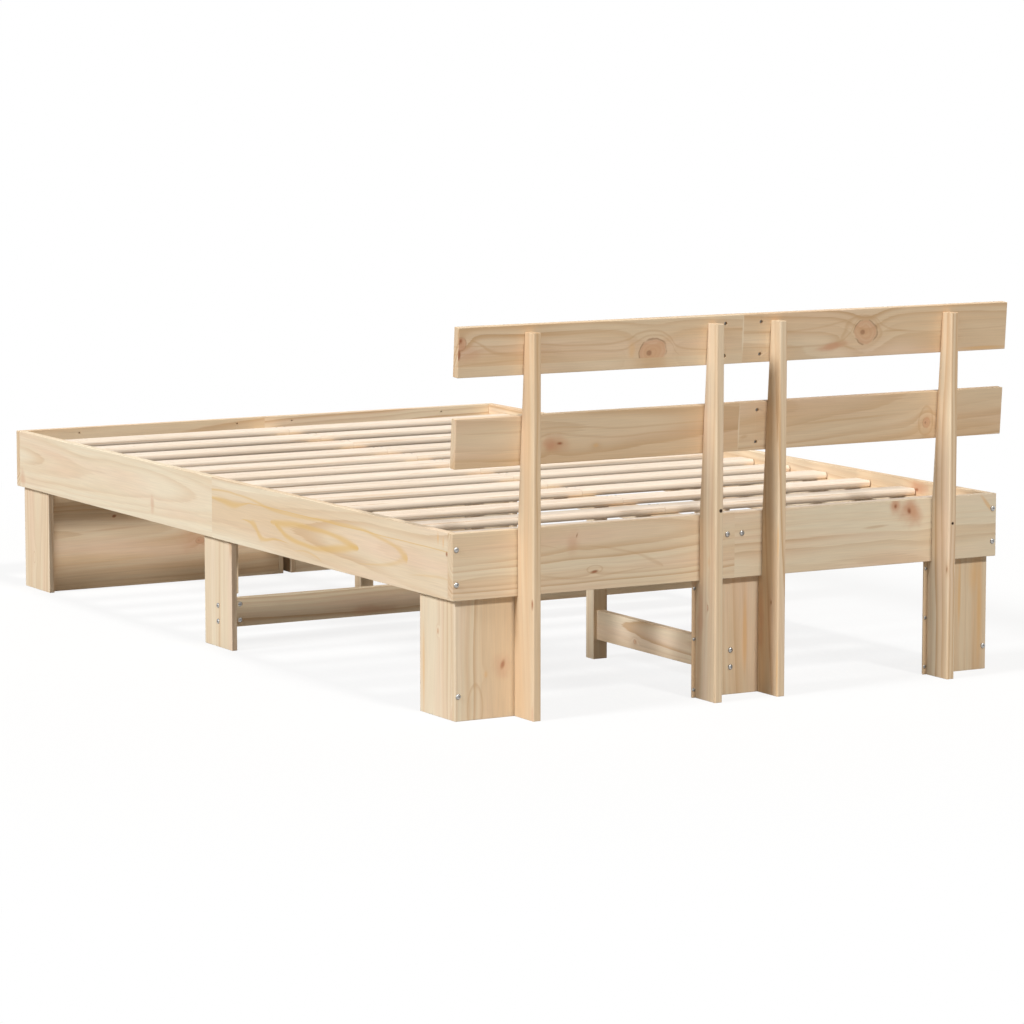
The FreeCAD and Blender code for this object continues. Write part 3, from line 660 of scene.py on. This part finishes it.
class Pine:
    """The pine of one board: its graph, the place in the board, and what sets the board apart."""

    def __init__(self, node, number, mark_group):
        self.node = node
        self.mark_group = mark_group
        self.chance = random.Random(number)
        self.axes = grain_axes(node)
        self.material, self.graph = new_material("pine_" + node)
        self.place = self.graph.add("ShaderNodeTexCoord").outputs["Object"]
        split = self.graph.add("ShaderNodeSeparateXYZ", {"Vector": self.place}).outputs
        self.along, self.across, self.depth = [split[axis] for axis in self.axes]
        surface = self.graph.add("ShaderNodeNewGeometry").outputs
        facing = self.graph.add("ShaderNodeSeparateXYZ", {"Vector": surface["Normal"]}).outputs
        self.end_on = self.graph.math("ABSOLUTE", facing[self.axes[0]])
        self.face_on = self.graph.math("ABSOLUTE", facing[self.axes[2]])
        self.set_apart(surface["Random Per Island"])
        self.fibre = self.field("fibre")

    def set_apart(self, island):
        """A shift in the noise for each board, each solid of a shared node and each side of a glue line."""
        self.shift = self.chance.uniform(0, BOARD_SHIFT)
        self.above = None
        if self.node in SHARED_GRAIN:
            self.shift = self.graph.math("MULTIPLY_ADD", island, ISLAND_SHIFT, self.shift)
        elif self.node in GLUE_LINES:
            glue_line = GLUE_LINES[self.node] * MILLIMETRE
            self.above = self.graph.math("GREATER_THAN", self.across, glue_line)
            self.shift = self.graph.math("MULTIPLY_ADD", self.above, STRIP_SHIFT, self.shift)

    def field(self, name, output="Fac"):
        """Noise stretched along the grain."""
        along_scale, cross_scale, detail = FIELDS[name]
        spot = self.graph.vector(
            self.graph.math("MULTIPLY_ADD", self.along, along_scale, self.shift),
            self.graph.math("MULTIPLY", self.across, cross_scale),
            self.graph.math("MULTIPLY", self.depth, cross_scale),
        )
        return self.graph.noise(spot, detail)[output]

    def rings(self):
        """How many rings away the heart line is, which tilts and wanders along the board."""
        graph = self.graph
        low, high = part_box(self.node)
        middle = [(low[axis] + high[axis]) / 2 for axis in self.axes]
        heart_across = middle[1] + self.chance.uniform(-HEART_ACROSS, HEART_ACROSS)
        heart_depth = middle[2] + self.chance.choice((-1, 1)) * self.chance.uniform(*HEART_DEPTH)
        tilt = self.chance.uniform(-HEART_TILT, HEART_TILT)
        wander = graph.add("ShaderNodeSeparateColor", {"Color": self.field("wander", "Color")}).outputs
        off_across = graph.math("SUBTRACT", self.across, heart_across)
        off_across = graph.math("MULTIPLY_ADD", wander[0], WANDER, off_across)
        off_depth = graph.math("SUBTRACT", self.depth, heart_depth)
        off_depth = graph.math("MULTIPLY_ADD", self.along, tilt, off_depth)
        off_depth = graph.math("MULTIPLY_ADD", wander[1], WANDER, off_depth)
        return graph.math("DIVIDE", graph.length(graph.vector(off_across, off_depth, 0.0)), RING_WIDTH)

    def add_mark(self, edge, mark):
        """The masks of one mark, with the wobble and the breaks of its edge."""
        at_along, at_across, half_length, half_width, tilt = mark
        wobble, breaks = edge
        inputs = {
            "Along": self.graph.math("SUBTRACT", self.along, at_along * MILLIMETRE),
            "Across": self.graph.math("SUBTRACT", self.across, at_across * MILLIMETRE),
            "Wobble": wobble,
            "Break": breaks,
            "Half length": half_length * MILLIMETRE,
            "Half width": half_width * MILLIMETRE,
            "Cosine": math.cos(math.radians(tilt)),
            "Sine": math.sin(math.radians(tilt)),
        }
        return self.graph.add("ShaderNodeGroup", inputs, node_tree=self.mark_group).outputs

    def marks(self, rings):
        """The styles and masks of the board's marks, and the rings as the marks bend them."""
        graph = self.graph
        ragged = graph.math("MULTIPLY_ADD", self.field("ragged"), MARK_WOBBLE, -MARK_WOBBLE / 2)
        flowing = graph.math("MULTIPLY_ADD", self.field("flowing"), MARK_WOBBLE, -MARK_WOBBLE / 2)
        broken = graph.rise(self.field("broken"), *BROKEN_EDGE)
        unbroken = graph.rise(self.field("unbroken"), *UNBROKEN_EDGE)
        marks = []
        for name, *mark in MARKS.get(self.node, ()):
            style = STYLES[name]
            edge = (flowing, unbroken) if style.flowing else (ragged, broken)
            masks = self.add_mark(edge, mark)
            rings = graph.math("MULTIPLY_ADD", masks["Bend"], style.bend, rings)
            marks.append((style, masks))
        return marks, rings

    def tone(self, rings):
        """Broad bands that follow the rings, from 0, pale, to 1, tan."""
        graph = self.graph
        band_along = graph.math("MULTIPLY_ADD", self.along, BAND_ALONG, self.shift)
        band_place = graph.vector(band_along, graph.math("MULTIPLY", rings, BAND_RINGS), 0.0)
        band = graph.math("SUBTRACT", graph.noise(band_place, BAND_DETAIL)["Fac"], NOISE_MIDDLE)
        return graph.math("MULTIPLY_ADD", band, BAND_CONTRAST, BOARD_TANS.get(self.node, BOARD_TAN))

    def ring_lines(self, rings):
        """Here and there a ring shows as a line, each with a strength of its own."""
        graph = self.graph
        rings = graph.math("MULTIPLY_ADD", self.fibre, FIBRE_STIR, rings)
        part = graph.math("FRACT", rings)
        line = graph.math("MULTIPLY", graph.rise(part, *RING_START), graph.fall(part, *RING_END))
        ring_place = graph.vector(graph.math("FLOOR", rings), self.shift, 0.0)
        own = graph.add("ShaderNodeTexWhiteNoise", {"Vector": ring_place}).outputs["Value"]
        strength = graph.math("MULTIPLY_ADD", graph.math("POWER", own, RING_RARITY), *RING_STRENGTH)
        patchy = graph.rise(self.field("patch"), *PATCH_EDGE)
        return graph.math("MULTIPLY", line, graph.math("MULTIPLY", strength, patchy))

    def plain_colour(self, tone, lines):
        """The colour of the wood without veins and marks."""
        graph = self.graph
        tints = (SLAT_PALE, SLAT_TAN, SLAT_ROSE) if is_slats(self.node) else (PALE, TAN, ROSE)
        pale, tan, rose = tints
        colour = graph.mix(tone, opaque(pale), opaque(tan))
        blush = graph.rise(self.field("blush"), *BLUSH_EDGE)
        colour = graph.mix(graph.math("MULTIPLY", blush, BLUSH_SHARE), colour, opaque(rose))
        colour = graph.mix(lines, colour, opaque(LATE))
        shade = graph.math("MULTIPLY_ADD", self.fibre, *FIBRE_SHADE)
        return graph.mix(1.0, colour, graph.vector(shade, shade, shade), "MULTIPLY")

    def vein(self, across, points):
        """One vein, as a mask that follows its points and fades at its sides."""
        graph = self.graph
        low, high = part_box(self.node)
        bottom = low[self.axes[1]]
        width = high[self.axes[1]] - bottom
        points = sorted(points)
        start = points[0][0] * MILLIMETRE
        length = points[-1][0] * MILLIMETRE - start
        share = graph.math("DIVIDE", graph.math("SUBTRACT", self.along, start), length)
        share = graph.math("MINIMUM", graph.math("MAXIMUM", share, 0.0), 1.0)
        boldness = VEIN_BOLDNESS.get(self.node, 1.0)
        path = []
        widths = []
        for at_along, at_across, half_width in points:
            place = (at_along * MILLIMETRE - start) / length
            path.append((place, (at_across * MILLIMETRE - bottom) / width))
            widths.append((place, half_width * boldness / VEIN_WIDEST))
        middle = graph.math("MULTIPLY_ADD", graph.curve(share, path), width, bottom)
        half = graph.math("MULTIPLY", graph.curve(share, widths), VEIN_WIDEST * MILLIMETRE)
        half = graph.math("MAXIMUM", half, VEIN_LEAST)
        away = graph.math("ABSOLUTE", graph.math("SUBTRACT", across, middle))
        return graph.fall(graph.math("DIVIDE", away, half), *VEIN_EDGE)

    def with_veins(self, colour):
        """A colour with the board's veins in it, which waver a little."""
        graph = self.graph
        wave = graph.math("SUBTRACT", self.field("wave"), NOISE_MIDDLE)
        across = graph.math("MULTIPLY_ADD", wave, VEIN_WANDER, self.across)
        tint = VEIN_TINTS.get(self.node, LATE)
        for strength, points in VEINS.get(self.node, ()):
            vein = graph.math("MULTIPLY", self.vein(across, points), strength)
            colour = graph.mix(vein, colour, opaque(tint))
        return colour

    def with_marks(self, plain, marks):
        """A colour with the board's marks on its broad faces, above the glue line if it has one."""
        graph = self.graph
        broad = graph.rise(self.face_on, *BROAD_FACE)
        colour = plain
        for style, masks in marks:
            parts = (
                ("Halo", style.halo, style.tint),
                ("Line", style.line, style.tint),
                ("Core", style.core, KNOT),
                ("Rim", style.rim, BARK),
            )
            for mask, strength, tint in parts:
                if strength:
                    share = graph.math("MULTIPLY", masks[mask], strength)
                    colour = graph.mix(graph.math("MULTIPLY", share, broad), colour, opaque(tint))
        if self.above is None:
            return colour
        return graph.mix(self.above, plain, colour)

    def with_black_knots(self, colour):
        """A colour with the board's small black knots in it."""
        for centre, radius in BLACK_KNOTS.get(self.node, ()):
            middle = [value * MILLIMETRE for value in centre]
            reach = radius * MILLIMETRE
            away = self.graph.distance(self.place, middle)
            dark = self.graph.fall(away, BLACK_KNOT_CORE * reach, reach)
            colour = self.graph.mix(dark, colour, opaque(PITCH))
        return colour

    def with_end_grain(self, colour):
        """A colour that is darker on the board's ends, where the grain drinks more light."""
        end = self.graph.rise(self.end_on, *END_FACE)
        return self.graph.mix(end, colour, self.graph.mix(1.0, colour, END_GRAIN, "MULTIPLY"))


def make_pine(node, number, mark_group):
    """Pine for one board: rings round the tree's heart, fibres along the grain, its marks and its ends."""
    pine = Pine(node, number, mark_group)
    marks, rings = pine.marks(pine.rings())
    tone = pine.tone(rings)
    lines = pine.ring_lines(rings)
    colour = pine.with_veins(pine.plain_colour(tone, lines))
    colour = pine.with_marks(colour, marks)
    colour = pine.with_black_knots(colour)
    colour = pine.with_end_grain(colour)
    looks = {
        "Base Color": colour,
        "Roughness": pine.graph.math("MULTIPLY_ADD", pine.fibre, *PINE_ROUGHNESS),
        "Specular IOR Level": PINE_SPECULAR,
    }
    height = pine.graph.math("MULTIPLY_ADD", lines, LINE_RELIEF, pine.fibre)
    pine.graph.surface(looks, height, FIBRE_RELIEF, PINE_BUMP)
    return pine.material


def make_zinc(name, dull, bright):
    """Zinc plating between two greys, faintly brushed and mottled."""
    material, graph = new_material(name)
    place = graph.add("ShaderNodeTexCoord").outputs["Object"]
    mottle = graph.noise(place, MOTTLE_DETAIL, MOTTLE_SCALE)["Fac"]
    scratch = graph.noise(place, SCRATCH_DETAIL, SCRATCH_SCALE)["Fac"]
    looks = {
        "Base Color": graph.mix(mottle, opaque(dull), opaque(bright)),
        "Roughness": graph.math("MULTIPLY_ADD", mottle, *ZINC_ROUGHNESS),
        "Metallic": 1.0,
    }
    graph.surface(looks, scratch, ZINC_RELIEF, ZINC_BUMP)
    return material


def welded(node):
    """A CAD node's mesh with the seams between its faces closed."""
    shape = bmesh.new()
    shape.from_mesh(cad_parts[node].data)
    bmesh.ops.remove_doubles(shape, verts=shape.verts, dist=WELD)
    return shape


def finish_piece(shape, name, node, material):
    """Turn a shape into a shown piece that stands for its CAD node."""
    mesh = bpy.data.meshes.new(name)
    shape.to_mesh(mesh)
    shape.free()
    mesh.polygons.foreach_set("use_smooth", [True] * len(mesh.polygons))
    mesh.set_sharp_from_angle(angle=SHADE_ANGLE)
    mesh.materials.append(material)
    piece = bpy.data.objects.new(name, mesh)
    bpy.context.scene.collection.objects.link(piece)
    piece.modifiers.new("even_normals", "WEIGHTED_NORMAL").keep_sharp = True
    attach(piece, "root")
    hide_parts(node)


def in_butt_joint(node, edge):
    """Whether an edge lies where two halves of a long board meet end to end, which stays square."""
    for ending, axis, place in BUTT_JOINTS:
        if node.endswith(ending) and all(abs(vertex.co[axis] - place) < BUTT_REACH for vertex in edge.verts):
            return True
    return False


def make_board(node, material):
    """A board with its long edges eased by a plane stroke, as no planed board is knife sharp."""
    shape = welded(node)
    edges = [
        edge for edge in shape.edges
        if edge.calc_length() > EASE_LEAST_LENGTH
        and edge.calc_face_angle(0) > SHARP_ANGLE
        and not in_butt_joint(node, edge)
    ]
    bmesh.ops.bevel(
        shape,
        geom=edges,
        offset=EASE,
        segments=EASE_STEPS,
        profile=EASE_ROUNDNESS,
        affect="EDGES",
        clamp_overlap=True,
    )
    finish_piece(shape, node + "_eased", node, material)


def islands(node):
    """The vertex places of each separate solid in a CAD node."""
    shape = welded(node)
    seen = set()
    found = []
    for first in shape.verts:
        if first in seen:
            continue
        seen.add(first)
        reached = [first]
        for vertex in reached:
            for edge in vertex.link_edges:
                other = edge.other_vert(vertex)
                if other not in seen:
                    seen.add(other)
                    reached.append(other)
        found.append(np.array([vertex.co for vertex in reached]))
    shape.free()
    return sorted(found, key=lambda points: tuple(points.mean(axis=0).round(ORDER_DECIMALS)))


def long_axis(points):
    """A solid's centre and long axis, and how far each point lies along the axis and away from it."""
    centre = points.mean(axis=0)
    axis = np.linalg.svd(points - centre, full_matrices=False)[2][0]
    reach = (points - centre) @ axis
    radius = np.linalg.norm(points - centre - np.outer(reach, axis), axis=1)
    return centre, axis, reach, radius


def standing(origin, axis):
    """The frame at an origin whose Z runs along an axis."""
    turn = Vector((0, 0, 1)).rotation_difference(Vector(axis)).to_matrix().to_4x4()
    return Matrix.Translation(Vector(origin)) @ turn


def read_fastener(points):
    """A fastener's frame and sizes from its solid: Z runs out of its head, from an origin under the head."""
    centre, axis, reach, radius = long_axis(points)
    middle = (reach.max() + reach.min()) / 2
    if radius[reach < middle].max() > radius[reach > middle].max():
        axis = -axis
        reach = -reach
    under = reach[radius > radius.max() * HEAD_LIKE].min()
    shank = radius[reach < reach.min() + TIP_REACH].max()
    place = standing(centre + axis * under, axis)
    return place, radius.max(), reach.max() - under, shank, under - reach.min()


def circle(radius):
    """The outline of a circle: the same radius at every angle."""
    return lambda angle: radius


def cross_outline(angle, size):
    """The radius of a cross recess at an angle."""
    turn = abs((angle + math.pi / 4) % (math.pi / 2) - math.pi / 4)
    return min(size / math.cos(turn), CROSS_ARM * size / max(math.sin(turn), LEAST_SINE))


def slot_outline(angle, size):
    """The radius of a screwdriver slot at an angle."""
    end = size / max(abs(math.cos(angle)), LEAST_SINE)
    side = SLOT_ARM * size / max(abs(math.sin(angle)), LEAST_SINE)
    return min(end, side)


def hexagon_outline(angle, size):
    """The radius of a hexagon socket at an angle."""
    turn = abs((angle + math.pi / 6) % (math.pi / 3) - math.pi / 6)
    return size / math.cos(turn)


def ring(shape, place, count, radius_at, height):
    """A ring of vertices round a fastener's axis."""
    vertices = []
    for step in range(count):
        angle = math.tau * step / count
        radius = radius_at(angle)
        spot = Vector((radius * math.cos(angle), radius * math.sin(angle), height))
        vertices.append(shape.verts.new(place @ spot))
    return vertices


def skin(shape, rings):
    """Quads between rings that follow one another, with a flat face at either end."""
    count = len(rings[0])
    for lower, upper in zip(rings, rings[1:]):
        for step in range(count):
            after = (step + 1) % count
            shape.faces.new((lower[step], lower[after], upper[after], upper[step]))
    shape.faces.new(rings[0][::-1])
    shape.faces.new(rings[-1])


def make_head(shape, place, radius, height, dome, outline, recess):
    """A turned head: a short rim, a dome or a flat top, and a driving recess."""
    rim = height * (DOME_RIM if dome else FLAT_RIM)
    levels = [(radius * FOOT_RADIUS, 0), (radius, height * FOOT_HEIGHT), (radius, rim)]
    collar = recess * RECESS_COLLAR * radius
    for step in range(1, DOME_STEPS + 1):
        level = radius + (collar - radius) * step / DOME_STEPS
        bulge = math.sqrt(max(0, 1 - (level / radius) ** 2))
        levels.append((level, rim + (height - rim) * bulge))
    rings = [ring(shape, place, HEAD_SIDES, circle(level), rise) for level, rise in levels]
    size = recess * radius
    top = levels[-1][1]
    rings.append(ring(shape, place, HEAD_SIDES, lambda angle: outline(angle, size), top))
    floor = height * RECESS_FLOOR
    rings.append(ring(shape, place, HEAD_SIDES, lambda angle: outline(angle, size) * RECESS_TAPER, floor))
    skin(shape, rings)


def make_shank(shape, place, radius, length):
    """A shank that runs down from the head, with a thread cut into its lower part and a blunt tip."""
    plain = length * PLAIN_SHARE
    threaded = length - plain
    turns = int(threaded / THREAD_PITCH)
    levels = [(radius, 0.0), (radius, -plain)]
    for turn in range(turns):
        step = threaded / turns
        top = -plain - step * turn
        levels.append((radius * ROOT_RADIUS, top - step * ROOT_PLACE))
        levels.append((radius, top - step * CREST_PLACE))
    levels[-1] = (radius * TIP_RADIUS, -length)
    rings = [ring(shape, place, SHANK_SIDES, circle(level), rise) for level, rise in reversed(levels)]
    skin(shape, rings)


def make_fasteners(node, material, dome, outline, recess):
    """All the fasteners of one CAD node: threaded shanks with turned heads, and studs without heads."""
    shape = bmesh.new()
    for points in islands(node):
        place, radius, head_height, shank, length = read_fastener(points)
        if length > head_height:
            make_shank(shape, place, shank, length)
        if radius > shank * HEAD_LEAST:
            make_head(shape, place, radius, head_height, dome, outline, recess)
    finish_piece(shape, node + "_turned", node, material)


def make_nuts(node, material):
    """Barrel nuts: turned cylinders with eased ends and a screwdriver slot in the face that shows."""
    shape = bmesh.new()
    for points in islands(node):
        centre, axis, reach, radius = long_axis(points)
        if axis.sum() > 0:
            axis = -axis
            reach = -reach
        place = standing(centre + axis * reach.min(), axis)
        length = reach.max() - reach.min()
        make_head(shape, place, radius.max(), length, False, slot_outline, NUT_RECESS)
    finish_piece(shape, node + "_turned", node, material)


def seen_as_background(graph):
    """1 for rays that show the background to the camera, straight or by way of metal or glass."""
    path = graph.add("ShaderNodeLightPath").outputs
    mirrored = graph.math("MAXIMUM", path["Is Glossy Ray"], path["Is Transmission Ray"])
    return graph.math("MAXIMUM", path["Is Camera Ray"], mirrored)


def make_floor():
    """A pale floor that looks white, apart from the bed's soft shadow."""
    shape = bmesh.new()
    bmesh.ops.create_grid(shape, x_segments=FLOOR_CELLS, y_segments=FLOOR_CELLS, size=FLOOR_REACH)
    mesh = bpy.data.meshes.new("floor")
    shape.to_mesh(mesh)
    shape.free()
    floor = bpy.data.objects.new("floor", mesh)
    bpy.context.scene.collection.objects.link(floor)
    material, graph = new_material("floor")
    mesh.materials.append(material)
    seen = seen_as_background(graph)
    away = graph.length(graph.add("ShaderNodeTexCoord").outputs["Object"])
    shown_shadow = graph.math("MULTIPLY", graph.fall(away, *FLOOR_FADE), FLOOR_SHADOW)
    white_share = graph.math("MULTIPLY", seen, graph.math("SUBTRACT", 1.0, shown_shadow))
    paint = graph.add("ShaderNodeBsdfDiffuse", {"Color": graph.mix(seen, FLOOR_BOUNCE, FLOOR_SEEN)})
    white = graph.add("ShaderNodeEmission", {"Strength": 1.0})
    mixed = graph.add("ShaderNodeMixShader", {0: white_share, 1: paint.outputs[0], 2: white.outputs[0]})
    graph.add("ShaderNodeOutputMaterial", {"Surface": mixed.outputs[0]})


def make_world():
    """A white surround that gives the bed an even low light."""
    world = bpy.data.worlds.new("studio")
    bpy.context.scene.world = world
    world.use_nodes = True
    graph = Graph(world.node_tree)
    seen = seen_as_background(graph)
    strength = graph.math("MULTIPLY_ADD", seen, 1.0 - WORLD_LIGHT, WORLD_LIGHT)
    tint = graph.mix(seen, WORLD_TINT, WHITE)
    background = graph.add("ShaderNodeBackground", {"Color": tint, "Strength": strength})
    graph.add("ShaderNodeOutputWorld", {"Surface": background.outputs[0]})


def make_lamp(name, place, spread, share, tint):
    """A soft far lamp, with the power that lights a facing surface by the share."""
    lamp = bpy.data.lights.new(name, "SUN")
    lamp.color = tint
    lamp.angle = math.radians(spread)
    lamp.energy = share * math.pi
    lamp_object = bpy.data.objects.new(name, lamp)
    lamp_object.location = place
    lamp_object.rotation_euler = Vector(place).to_track_quat("Z", "Y").to_euler()
    bpy.context.scene.collection.objects.link(lamp_object)


def make_camera():
    """The camera of the photograph."""
    camera = bpy.data.cameras.new("camera")
    camera.lens = CAMERA_LENS
    camera.sensor_width = CAMERA_SENSOR
    camera.clip_end = CAMERA_REACH
    camera_object = bpy.data.objects.new("camera", camera)
    camera_object.location = CAMERA_PLACE
    camera_object.rotation_euler = (math.radians(90 - CAMERA_DROP), 0, math.radians(CAMERA_AZIMUTH))
    bpy.context.scene.collection.objects.link(camera_object)
    bpy.context.scene.camera = camera_object


mark_group = make_mark_group()
wooden = sorted(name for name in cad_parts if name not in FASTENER_NODES)
for number, node in enumerate(wooden):
    make_board(node, make_pine(node, number, mark_group))

zinc = make_zinc("zinc_plating", *ZINC)
dark_zinc = make_zinc("dark_zinc_plating", *DARK_ZINC)
for bolts in BOLT_NODES:
    make_fasteners(bolts, zinc, True, hexagon_outline, HEXAGON_RECESS)
for screws in SCREW_NODES:
    make_fasteners(screws, zinc, True, cross_outline, CROSS_RECESS)
make_fasteners(SLAT_SCREW_NODE, dark_zinc, False, cross_outline, SLAT_SCREW_RECESS)
make_nuts(NUT_NODE, zinc)

make_floor()
make_world()
for lamp_name, lamp_sizes in LAMPS.items():
    make_lamp(lamp_name, **lamp_sizes)
make_camera()
bpy.context.scene.view_settings.view_transform = "Standard"
